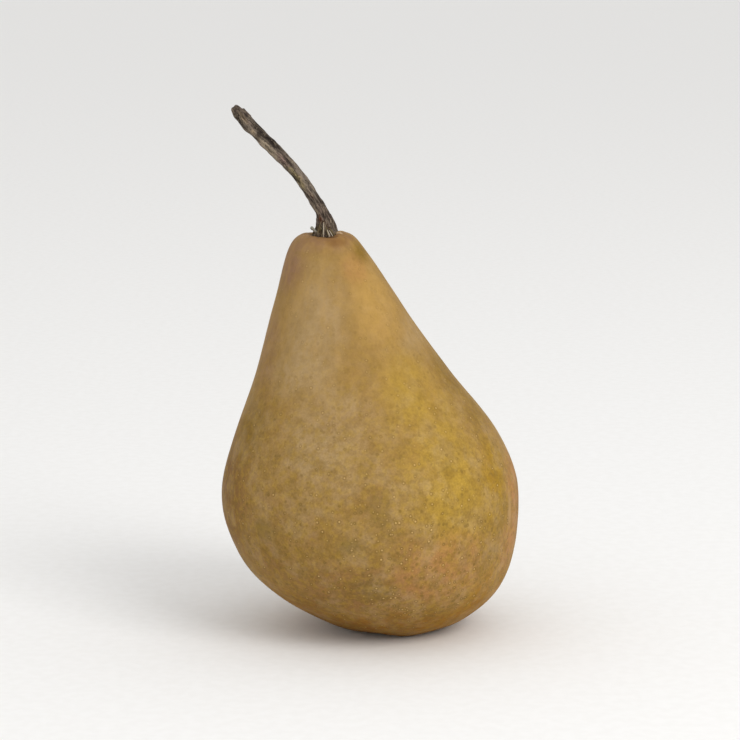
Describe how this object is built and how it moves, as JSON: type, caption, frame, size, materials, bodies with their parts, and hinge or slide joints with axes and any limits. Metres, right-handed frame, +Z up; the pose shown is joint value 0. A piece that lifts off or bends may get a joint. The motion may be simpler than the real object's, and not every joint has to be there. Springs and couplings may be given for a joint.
{
  "type": "pear",
  "caption": "Ripe russet dessert pear with its woody stalk and dried calyx, standing on its blossom end, neck leaning.",
  "frame": {"origin": "on the surface that the pear stands on, under the middle of its belly", "axes": "+Z up; +X to the right as the picture shows it, away from the side that the neck and stalk lean to; -Y to the front"},
  "size_m": [0.075, 0.075, 0.1318],
  "materials": {
    "skin": "satin russet pear skin, golden brown with olive mottling and fine pale lenticels",
    "stalk_wood": "dry grey-brown bark with lengthwise ridges",
    "dried_calyx": "dark brown, dry and papery"
  },
  "bodies": {
    "root": {"fruit": "skin", "stalk": "stalk_wood", "calyx": "dried_calyx"}
  },
  "joints": []
}
